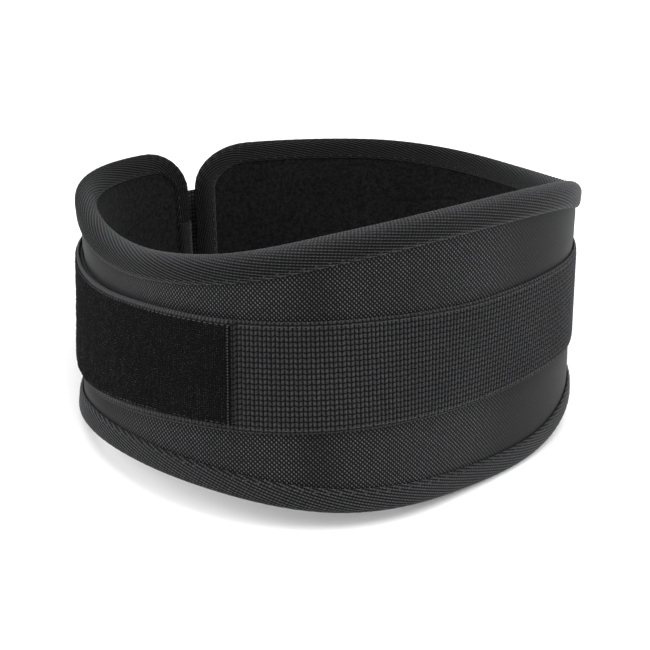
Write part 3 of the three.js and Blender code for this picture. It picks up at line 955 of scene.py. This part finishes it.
def valleys(length, height):
    """Depth of the lines at each point of the lining."""
    depth = np.zeros(length.shape)
    for row in np.stack(list(LINING_LINES.values()), 1):
        start = np.array((length_at((row[0] + 180) % 360 - 180), row[1]))
        end = np.array((length_at((row[2] + 180) % 360 - 180), row[3]))
        run = end - start
        away = np.stack((length, height), -1) - start
        share = np.clip((away @ run) / (run @ run), 0, 1)
        distance = np.linalg.norm(away - share[..., None] * run, axis=-1)
        depth = np.maximum(depth, row[4] * np.exp(-(distance / row[5])**2))
    return depth


def lining_grid():
    columns = outline_columns(LINING_STEP)
    columns = np.unique(np.clip(columns, LEFT_END + LINING_INSET, RIGHT_END - LINING_INSET))
    low, high = edge_heights(columns)
    low, high = low + LINING_INSET, high - LINING_INSET
    share = np.linspace(0, 1, int(BACK_RISE * 2 / LINING_STEP))
    heights = low[:, None] + (high - low)[:, None] * share[None]
    lengths = np.repeat(columns[:, None], len(share), 1)
    broad = np.sin(lengths / 17 + np.sin(heights / 23) * 2) * np.sin(heights / 19 + lengths / 41)
    fine = np.sin(lengths / 7.3 + heights / 11) * np.sin(heights / 9 - lengths / 13)
    wander = broad * 0.22 + fine * 0.08
    edge = np.minimum(heights - heights[:, :1], heights[:, -1:] - heights)
    hold = ease(edge, 2, 12)
    inner = -PAD_HALF - wander * hold * 0.6 + valleys(lengths, heights) * ease(edge, 2, 6)
    front = place(lengths, heights, inner)
    outer = np.full(heights.shape, LINING_THICKNESS - PAD_HALF)
    back = place(lengths[:, ::-1], heights[:, ::-1], outer)
    flat = np.stack((lengths, heights, np.ones(lengths.shape)), -1)
    keep = np.linspace(0, len(share) - 1, 12).astype(int)
    points = np.concatenate((front, back[:, keep]), 1)
    return points, np.concatenate((flat, flat[:, ::-1][:, keep]), 1)


lining = grid_piece("brushed_lining", *lining_grid(), LINING)
told(lining, "lining", slot="lining_fabric")
lengths = outline_columns(LINING_STEP)
low, high = edge_heights(lengths)
tall = np.maximum(high - low - 2 * LINING_INSET, 0) * MM

# %% [markdown]
# The binding is one tape, folded round the whole rim and sewn through near both of its edges. Its
# ribs run almost along it, so an ordinary grid would need a point every half millimetre to draw
# them. Instead the grid itself is slanted: each column of points follows a rib, and only the step
# from rib to rib has to be fine. The pitch is adjusted a little so that the ribs meet where the
# tape closes.

# %% Binding tape
POINTS_PER_RIB = 5
TAPE_ROWS = 25
TAPE_EDGE = 2.4  # where the tape starts to curve down to its edge
TAPE_STITCH = 2.0  # from the tape's edge to its line of stitches
OUTSIDE_LEG = TAPE_COVER_OUTSIDE - RIM_OUTER
INSIDE_LEG = TAPE_COVER_INSIDE - RIM_OUTER
TAPE_ARC = float(np.pi * RIM_OUTER)
TAPE_WIDTH = OUTSIDE_LEG + TAPE_ARC + INSIDE_LEG
TAPE_UNDER = PAD_HALF + 0.1
RIB_DEPTH = 0.62 * MM
STITCH_DIP, STITCH_DIP_REACH = 0.35, 0.55  # how deep a seam presses into the tape, and how far

slant = np.radians(RIB_SLANT)
rib_count = round(RIM_LENGTH * np.sin(slant) / RIB_PITCH)
rib_pitch = RIM_LENGTH * np.sin(slant) / rib_count


def tape_profile(across, outer=RIM_OUTER):
    """Inset from the outline and distance out of the tape's face, at a way across the tape."""
    angle = np.clip((across - OUTSIDE_LEG) / TAPE_ARC, 0, 1) * np.pi
    before = np.maximum(OUTSIDE_LEG - across, 0)
    after = np.maximum(across - OUTSIDE_LEG - TAPE_ARC, 0)
    inset = RIM_OUTER - outer * np.sin(angle) + before + after
    out = outer * np.cos(angle)
    edge = np.minimum(across, TAPE_WIDTH - across)
    pressed = (outer - TAPE_UNDER - STITCH_DIP) * (1 - ease(edge, -0.6, TAPE_EDGE))
    groove = STITCH_DIP * np.exp(-((edge - TAPE_STITCH) / STITCH_DIP_REACH)**2)
    return inset, out - np.sign(out) * (pressed + groove)


def binding_grid():
    columns = rib_count * POINTS_PER_RIB
    start = np.arange(columns) / columns * RIM_LENGTH
    across = np.linspace(0, TAPE_WIDTH, TAPE_ROWS)
    along = start[:, None] + across[None] / np.tan(slant)
    inset, out = tape_profile(across)
    face = place_rim(along, inset[None], out[None])
    strength = ease(np.minimum(across, TAPE_WIDTH - across), 0.4, 2.0) * np.ones((columns, 1))
    under = np.linspace(TAPE_WIDTH, 0, 9)
    fold = np.clip((under - OUTSIDE_LEG) / TAPE_ARC, 0, 1) * np.pi
    leg = np.maximum(OUTSIDE_LEG - under, 0) + np.maximum(under - OUTSIDE_LEG - TAPE_ARC, 0)
    under_along = start[:, None] + under[None] / np.tan(slant)
    under_inset = RIM_OUTER - RIM_INNER * np.sin(fold) + leg
    inner = place_rim(under_along, under_inset[None], (RIM_INNER * np.cos(fold))[None])
    no_relief = np.zeros((columns, len(under)))
    weave = np.concatenate((
        np.stack((along, across[None] + 0 * along, strength), -1),
        np.stack((under_along, under[None] + 0 * start[:, None], no_relief), -1)), 1)
    points = np.concatenate((face, inner), 1)
    return points, weave


binding = grid_piece("binding_tape", *binding_grid(), TWILL, ring_length=RIM_LENGTH)
TWILL_RELIEF.apply(binding, TWILL, Pitch=rib_pitch, Slant=float(slant), Depth=RIB_DEPTH)
told(binding, "edge_binding", slot="binding_tape")

# %% Where the tape's end lies over its start
LAP_COLUMNS = 40


def lap_grid():
    run = np.linspace(0, LAP_LENGTH, LAP_COLUMNS)
    across = np.linspace(0, TAPE_WIDTH, TAPE_ROWS)
    tip = 1 - ease(np.minimum(run, LAP_LENGTH - run), -0.5, 1.2)
    inset, out = tape_profile(across, LAP_OUTER)
    low_inset, low_out = tape_profile(across, RIM_OUTER + CLEARANCE)
    mix = tip[:, None] * 0.6
    face_inset, face_out = inset * (1 - mix) + low_inset * mix, out * (1 - mix) + low_out * mix
    height = LAP_TOP - run[:, None]
    face = place(LEFT_END + face_inset, height, face_out)
    back = place(LEFT_END + low_inset[::-1][None], height, low_out[::-1][None])
    strength = ease(np.minimum(across, TAPE_WIDTH - across), 0.4, 2.0)[None] * (1 - tip[:, None])
    along = run[:, None] + 0 * across
    weave = np.stack((along, across[None] + 0 * along, strength), -1)
    return np.concatenate((face, back), 1), np.concatenate((weave, weave[:, ::-1] * (1, 1, 0)), 1)


lap = grid_piece("binding_tape_lap", *lap_grid(), TWILL)
TWILL_RELIEF.apply(lap, TWILL, Pitch=rib_pitch, Slant=float(slant), Depth=RIB_DEPTH * 0.6)
told(lap, "binding_lap", slot="binding_tape")

# %% [markdown]
# The webbing and the strap are flat bands that follow the wall, so both come from one function:
# where the band's middle is, how far out it lies and how wide it is. Its face gets four columns to
# a rib and four rows to a bead, but only where it shows. Under the strap and under the pile, the
# columns are far apart and lie flat.

# %% Bands
BAND_EDGE = 1.3  # over which an edge rounds down
POINTS_PER_BEAD = 4
PLAIN_STEP = 4.0
BEAD_DEPTH = 1.05 * MM


def band_columns(start, end, shown):
    """Lengths of the columns: fine from shown[0] to shown[1], and coarse elsewhere."""
    fine = WEB_RIB / POINTS_PER_BEAD
    first, last = max(shown[0], start), min(shown[1], end)
    face = np.arange(np.ceil(first / fine + 0.2), last / fine - 0.2) * fine
    before = np.linspace(start, first, int((first - start) / PLAIN_STEP) + 2)
    after = np.linspace(last, end, int((end - last) / PLAIN_STEP) + 2)
    return np.unique(np.concatenate((before, face, after)))


def band_grid(columns, middle, width, inner, thickness, shown, seam=2.2, seam_dip=0.25):
    """Sections of a band: its face from the lower edge to the upper, and its back."""
    band = middle[:, None]
    fine = WEB_ROW / POINTS_PER_BEAD
    reach = int(width / 2 / fine - 0.2)
    across = np.concatenate(([-width / 2], np.arange(-reach, reach + 1) * fine, [width / 2]))
    edge = width / 2 - np.abs(across)
    rounding = 0.75 * thickness * (1 - ease(edge, -0.2, BAND_EDGE))
    dip = seam_dip * np.exp(-((edge - seam) / 0.7)**2)
    inner = np.broadcast_to(inner, columns.shape)[:, None]
    ends = np.minimum(columns - columns[0], columns[-1] - columns)[:, None]
    tip = 0.5 * thickness * (1 - ease(ends, -0.2, 1.0))
    face = place(columns[:, None], band + across, inner + thickness - rounding - dip - tip)
    under = np.linspace(width / 2, -width / 2, 5)
    back = place(columns[:, None], band + under, inner)
    on = ease(columns, shown[0] - 1, shown[0]) * (1 - ease(columns, shown[1], shown[1] + 1))
    strength = ease(edge, 0.3, 1.4) * (1 - 0.7 * np.exp(-((edge - seam) / 0.6)**2))
    strength = strength[None] * (on[:, None] * ease(ends, 0.2, 1.5))
    along = columns[:, None] + 0 * across
    weave_face = np.stack((along, across[None] + 0 * along, strength), -1)
    weave_back = np.stack((columns[:, None] + 0 * under, under[None] + 0 * columns[:, None],
                           np.zeros((len(columns), len(under)))), -1)
    return np.concatenate((face, back), 1), np.concatenate((weave_face, weave_back), 1)


def webbing_middle(length):
    return section(turn_at(length))[2]


def strap_middle(length):
    return webbing_middle(length) + STRAP_WIDTH * smooth(STRAP_LIFTS, "up", turn_at(length))


def strap_face(length):
    """Distance out of the strap's inner face."""
    turn = turn_at(length)
    return (STRAP_INNER + LAP_CLIMB * smooth(STRAP_LIFTS, "over", turn)
            + STRAP_THICKNESS * smooth(STRAP_LIFTS, "slack", turn))


def webbing_cover(end, corner_run):
    """How far inside an end of the pad the webbing stops, past the tape and its rounded corner."""
    rise, drop, middle, _ = section(turn_at(end))
    cover = TAPE_COVER_OUTSIDE + CLEARANCE
    straight = min(rise - middle, drop + middle) - CORNER_DEPTH
    past = max(0, WEBBING_WIDTH / 2 - straight) / (CORNER_DEPTH - cover)
    return cover + (corner_run - cover) * (1 - np.sqrt(1 - min(1, past)**2))


WEBBING_START = LEFT_END + webbing_cover(LEFT_END, LEFT_CORNER_RUN)
WEBBING_END = RIGHT_END - webbing_cover(RIGHT_END, RIGHT_CORNER_RUN)
webbing_shown = (length_at(STRAP_TIP_TURN - 360) - 3, length_at(STRAP_SEWN_TURN) + 3)
columns = band_columns(WEBBING_START, WEBBING_END, webbing_shown)
grid = band_grid(columns, webbing_middle(columns), WEBBING_WIDTH, WEBBING_INNER, WEBBING_THICKNESS,
                 webbing_shown)
webbing = grid_piece("webbing_band", *grid, RIBBED)
RIBBED_RELIEF.apply(webbing, RIBBED, Rib=WEB_RIB, Row=WEB_ROW, Zigzag=ROW_ZIGZAG, Depth=BEAD_DEPTH)
told(webbing, "webbing", slot="webbing_band")

strap_start, strap_end = length_at(STRAP_SEWN_TURN), length_at(STRAP_TIP_TURN)
strap_shown = (strap_start, length_at(PILE_START_TURN) + 2)
columns = band_columns(strap_start, strap_end, strap_shown)
grid = band_grid(columns, strap_middle(columns), STRAP_WIDTH, strap_face(columns), STRAP_THICKNESS,
                 strap_shown, seam=1.6)
strap = grid_piece("closing_strap", *grid, RIBBED)
RIBBED_RELIEF.apply(strap, RIBBED, Rib=WEB_RIB, Row=WEB_ROW, Zigzag=ROW_ZIGZAG, Depth=BEAD_DEPTH)
told(strap, "strap", slot="webbing_band")

# %% [markdown]
# The face of the strap is loop pile: a knitted ground with thousands of small yarn loops, a little
# crushed by use. The ground is a thin band with one point for each loop. Geometry Nodes set a loop
# on every point of its face, push each a little off its place, and turn, tilt and scale it at
# random, with a fixed seed. A loop needs only eight faces, because it is smaller than a pixel.

# %% Loop pile
LOOP_STEP = 1.22
LOOP_LONG, LOOP_THICK = 0.78, 0.5
LOOP_JITTER = 0.2  # share of a step that a loop may be off its place
LOOP_SEED = 7


def pile_grid():
    start, end = length_at(PILE_START_TURN), length_at(STRAP_TIP_TURN) - PILE_TIP_MARGIN
    columns = np.linspace(start, end, int((end - start) / LOOP_STEP) + 1)
    band = strap_middle(columns)[:, None]
    low, high = -STRAP_WIDTH / 2, STRAP_WIDTH / 2 - SELVAGE
    across = np.linspace(low, high, int((high - low) / LOOP_STEP) + 1)
    inner = strap_face(columns)[:, None] + STRAP_THICKNESS + CLEARANCE * 0.2
    thickness = PILE_THICKNESS * 0.45
    edge = np.minimum(across - low, high - across)
    rounding = thickness * 0.6 * (1 - ease(edge, -0.2, 1.5))
    long_wave = np.sin(columns[:, None] / 5.1 + across / 3.7)
    uneven = 0.16 * long_wave * np.sin(across / 6.1 - columns[:, None] / 8.3)
    face = place(columns[:, None], band + across, inner + thickness - rounding + uneven)
    under = np.linspace(high, low, 3)
    back = place(columns[:, None], band + under, inner + 0 * under)
    along = columns[:, None] + 0 * across
    ones = np.ones(along.shape)
    weave_face = np.stack((along, across[None] * ones, ones), -1)
    weave_back = np.stack((columns[:, None] + 0 * under, under[None] + 0 * columns[:, None],
                           np.zeros((len(columns), 3))), -1)
    return np.concatenate((face, back), 1), np.concatenate((weave_face, weave_back), 1)


def random_value(tree, low, high, seed, kind="FLOAT"):
    node = tree.node("FunctionNodeRandomValue", data_type=kind)
    sockets = [socket for socket in node.inputs if socket.enabled]
    named = {socket.name: socket for socket in sockets}
    named["Min"].default_value, named["Max"].default_value = low, high
    named["Seed"].default_value = seed
    return next(socket for socket in node.outputs if socket.enabled)


def loop_tree():
    """One loop of yarn on each point whose relief is on."""
    tree = Tree("pile_loops", Long=0.001, Thick=0.0005, Step=0.001)
    strength = tree.weave()[2]
    points = tree.node("GeometryNodeMeshToPoints")
    tree.link(strength.math("GREATER_THAN", 0.5).socket, points.inputs["Selection"])
    normal = tree.node("GeometryNodeInputNormal")
    kept = tree.node("GeometryNodeCaptureAttribute")
    kept.capture_items.new("VECTOR", "normal")
    tree.link(tree.inlet.outputs["Geometry"], kept.inputs["Geometry"])
    tree.link(normal.outputs[0], kept.inputs["normal"])
    tree.link(kept.outputs["Geometry"], points.inputs["Mesh"])
    jitter = tree.node("ShaderNodeVectorMath", operation="SCALE")
    shake = random_value(tree, (-LOOP_JITTER,) * 3, (LOOP_JITTER,) * 3, LOOP_SEED, "FLOAT_VECTOR")
    tree.link(shake, jitter.inputs[0])
    tree.link(tree.inlet.outputs["Step"], jitter.inputs["Scale"])
    moved = tree.node("GeometryNodeSetPosition")
    tree.link(points.outputs[0], moved.inputs["Geometry"])
    tree.link(jitter.outputs[0], moved.inputs["Offset"])
    loop = tree.node("GeometryNodeMeshUVSphere")
    loop.inputs["Segments"].default_value, loop.inputs["Rings"].default_value = 4, 2
    loop.inputs["Radius"].default_value = 0.5
    shape = tree.node("GeometryNodeTransform")
    size = tree.node("ShaderNodeCombineXYZ")
    for axis, label in zip("XYZ", ("Thick", "Long", "Thick")):
        tree.link(tree.inlet.outputs[label], size.inputs[axis])
    tree.link(loop.outputs["Mesh"], shape.inputs["Geometry"])
    tree.link(size.outputs[0], shape.inputs["Scale"])
    stand = tree.node("FunctionNodeAlignRotationToVector", axis="Z")
    tree.link(kept.outputs["normal"], stand.inputs["Vector"])
    spin = tree.node("FunctionNodeRotateRotation", rotation_space="LOCAL")
    tree.link(stand.outputs[0], spin.inputs["Rotation"])
    turn = random_value(tree, (-0.4, -0.4, -3.1), (0.4, 0.4, 3.1), LOOP_SEED + 1, "FLOAT_VECTOR")
    tree.link(turn, spin.inputs["Rotate By"])
    sow = tree.node("GeometryNodeInstanceOnPoints")
    tree.link(moved.outputs[0], sow.inputs["Points"])
    tree.link(shape.outputs[0], sow.inputs["Instance"])
    tree.link(spin.outputs[0], sow.inputs["Rotation"])
    tree.link(random_value(tree, 0.8, 1.2, LOOP_SEED + 2), sow.inputs["Scale"])
    return tree.close(sow.outputs[0])


ground = grid_piece("pile_ground", *pile_grid(), PILE_GROUND)
loops = bpy.data.objects.new("pile_loops", ground.data.copy())
bpy.context.scene.collection.objects.link(loops)
loop_tree().apply(loops, PILE_YARN, Long=LOOP_LONG * MM, Thick=LOOP_THICK * MM, Step=LOOP_STEP * MM)
told(ground, "loop_pile", slot="loop_pile")
told(loops, slot="loop_pile")

# %% [markdown]
# Sewing thread shows as short raised dashes with a small gap between them. Each seam is a line on
# the wall, and one tree walks along it, a stitch to each step, turned to the line's direction. The
# stitch is a slim capsule, sunk by half into the cloth.

# %% Stitches
STITCH_PITCH, STITCH_LONG, STITCH_THICK = 3.4, 2.5, 0.62


def stitch_tree():
    tree = Tree("stitches", Pitch=0.003, Long=0.0025, Thick=0.0006)
    line = tree.node("GeometryNodeMeshToCurve")
    tree.link(tree.inlet.outputs["Geometry"], line.inputs["Mesh"])
    walk = tree.node("GeometryNodeCurveToPoints", mode="LENGTH")
    tree.link(line.outputs["Curve"], walk.inputs["Curve"])
    tree.link(tree.inlet.outputs["Pitch"], walk.inputs["Length"])
    bead = tree.node("GeometryNodeMeshUVSphere")
    bead.inputs["Segments"].default_value, bead.inputs["Rings"].default_value = 6, 4
    bead.inputs["Radius"].default_value = 0.5
    size = tree.node("ShaderNodeCombineXYZ")
    for axis, label in zip("XYZ", ("Thick", "Thick", "Long")):
        tree.link(tree.inlet.outputs[label], size.inputs[axis])
    shape = tree.node("GeometryNodeTransform")
    tree.link(bead.outputs["Mesh"], shape.inputs["Geometry"])
    tree.link(size.outputs[0], shape.inputs["Scale"])
    sew = tree.node("GeometryNodeInstanceOnPoints")
    tree.link(walk.outputs["Points"], sew.inputs["Points"])
    tree.link(walk.outputs["Rotation"], sew.inputs["Rotation"])
    tree.link(shape.outputs[0], sew.inputs["Instance"])
    soft = tree.node("GeometryNodeSetShadeSmooth")
    tree.link(sew.outputs[0], soft.inputs["Geometry"])
    return tree.close(soft.outputs[0])


STITCHES = stitch_tree()


def sewn(name, lines, slot, pitch=STITCH_PITCH, long=STITCH_LONG, thick=STITCH_THICK):
    """Stitches along lines of points. Each line is an array, and a closed one repeats its start."""
    points, edges, first = [], [], 0
    for line in lines:
        points.extend(line.tolist())
        edges.extend((first + i, first + i + 1) for i in range(len(line) - 1))
        first += len(line)
    mesh = bpy.data.meshes.new(name)
    mesh.from_pydata(points, edges, [])
    piece = bpy.data.objects.new(name, mesh)
    bpy.context.scene.collection.objects.link(piece)
    STITCHES.apply(piece, THREAD, Pitch=pitch * MM, Long=long * MM, Thick=thick * MM)
    told(piece, slot=slot)
    return piece


round_rim = np.linspace(0, RIM_LENGTH, 1400)


def tape_line(across):
    inset, out = tape_profile(np.array(across))
    return place_rim(round_rim, inset, out)


def between_turns(start, end, step=1.0):
    first, last = length_at(start), length_at(end)
    return np.linspace(first, last, int((last - first) / step) + 2)


def band_seam(lengths, middle, width, edge, out):
    """A seam so far inside a band's edge: the upper edge if above 0, the lower one if below."""
    return place(lengths, middle + np.sign(edge) * width / 2 - edge, out)


webbing_run = between_turns(STRAP_TIP_TURN - 360 + 1, STRAP_SEWN_TURN - 1)
pile_run = np.linspace(length_at(PILE_START_TURN), length_at(STRAP_TIP_TURN) - 2.5, 400)
strap_seam_out = strap_face(pile_run) + STRAP_THICKNESS + 0.35

sewn("stitches_binding_outside", [tape_line(TAPE_STITCH)], "binding_tape")
sewn("stitches_binding_inside", [tape_line(TAPE_WIDTH - TAPE_STITCH)], "binding_tape")
sewn("stitches_webbing", [band_seam(webbing_run, webbing_middle(webbing_run), WEBBING_WIDTH, edge,
                                    WEBBING_OUTER - 0.2) for edge in (2.2, -2.2)], "webbing_band")
sewn("stitches_pile",
     [band_seam(pile_run, strap_middle(pile_run), STRAP_WIDTH, edge, strap_seam_out)
      for edge in (SELVAGE + 0.4, -0.9)], "loop_pile")

# Overcast stitches close the pile's end, beside the strap's free end
END_STITCH_PITCH, END_STITCH_LONG = 1.55, 1.1
tip_length = length_at(STRAP_TIP_TURN) - PILE_TIP_MARGIN - 1.5
tip_across = np.linspace(0.8, STRAP_WIDTH - SELVAGE - 1, 90) - STRAP_WIDTH / 2
tip_heights = strap_middle(tip_length) + tip_across
tip_out = strap_face(tip_length) + STRAP_THICKNESS + PILE_THICKNESS - 0.1
sewn("stitches_pile_end", [place(tip_length, tip_heights, tip_out)], "loop_pile",
     END_STITCH_PITCH, END_STITCH_LONG, 0.75)

# %% The box of stitches that holds the strap
BOX_START, BOX_END = 100.0, 126.0  # turns
BOX_MARGIN = 4.0


def strap_box():
    """A square of stitches with its two diagonals, on the strap's face."""
    lengths = between_turns(BOX_START, BOX_END)
    share = np.linspace(0, 1, len(lengths))
    half = STRAP_WIDTH / 2 - BOX_MARGIN
    out = strap_face(lengths) + STRAP_THICKNESS - 0.15
    band = strap_middle(lengths)
    lines = [place(lengths, band + side * half, out) for side in (-1, 1)]
    lines += [place(lengths, band + side * half * (1 - 2 * share), out) for side in (-1, 1)]
    for i in (0, -1):
        lines.append(place(lengths[i], band[i] + np.linspace(-half, half, 50), out[i]))
    return lines


sewn("stitches_strap_box", strap_box(), "webbing_band")

# %% [markdown]
# The belt was photographed in a white studio, lit softly from all round. Black cloth shows only
# what it reflects at a low angle, so its sides are lighter than its front. A pale floor, an even
# white surround and three large soft lamps give that.

# %% Floor, surround and light
FLOOR_SIZE = 4.0
LAMPS = (  # name, place in metres, size, power in watts
    ("over", (0.2, 0.5, 1.9), 1.6, 26),
    ("left", (1.6, -0.3, 0.9), 1.2, 20),
    ("right", (-1.4, 1.0, 0.8), 1.2, 22),
)


def floor():
    mesh = bpy.data.meshes.new("floor")
    half = FLOOR_SIZE / 2
    corners = [(-half, -half, 0), (half, -half, 0), (half, half, 0), (-half, half, 0)]
    mesh.from_pydata(corners, [], [(0, 1, 2, 3)])
    plate = bpy.data.objects.new("floor", mesh)
    bpy.context.scene.collection.objects.link(plate)
    paint = bpy.data.materials.new("pale_floor")
    paint.use_nodes = True
    paint.node_tree.nodes["Principled BSDF"].inputs["Base Color"].default_value = (0.9, 0.9, 0.9, 1)
    paint.node_tree.nodes["Principled BSDF"].inputs["Roughness"].default_value = 0.9
    mesh.materials.append(paint)


floor()
world = bpy.data.worlds.new("surround")
world.use_nodes = True
world.node_tree.nodes["Background"].inputs["Color"].default_value = (1, 1, 1, 1)
world.node_tree.nodes["Background"].inputs["Strength"].default_value = 0.85
bpy.context.scene.world = world
bpy.context.scene.view_settings.view_transform = "Standard"

for name, at, size, power in LAMPS:
    lamp = bpy.data.objects.new(f"lamp_{name}", bpy.data.lights.new(f"lamp_{name}", "AREA"))
    lamp.data.size, lamp.data.energy = size, power
    lamp.location = at
    lamp.rotation_euler = (-Vector(at)).to_track_quat("-Z", "Y").to_euler()
    bpy.context.scene.collection.objects.link(lamp)
print(len(LAMPS), "lamps")
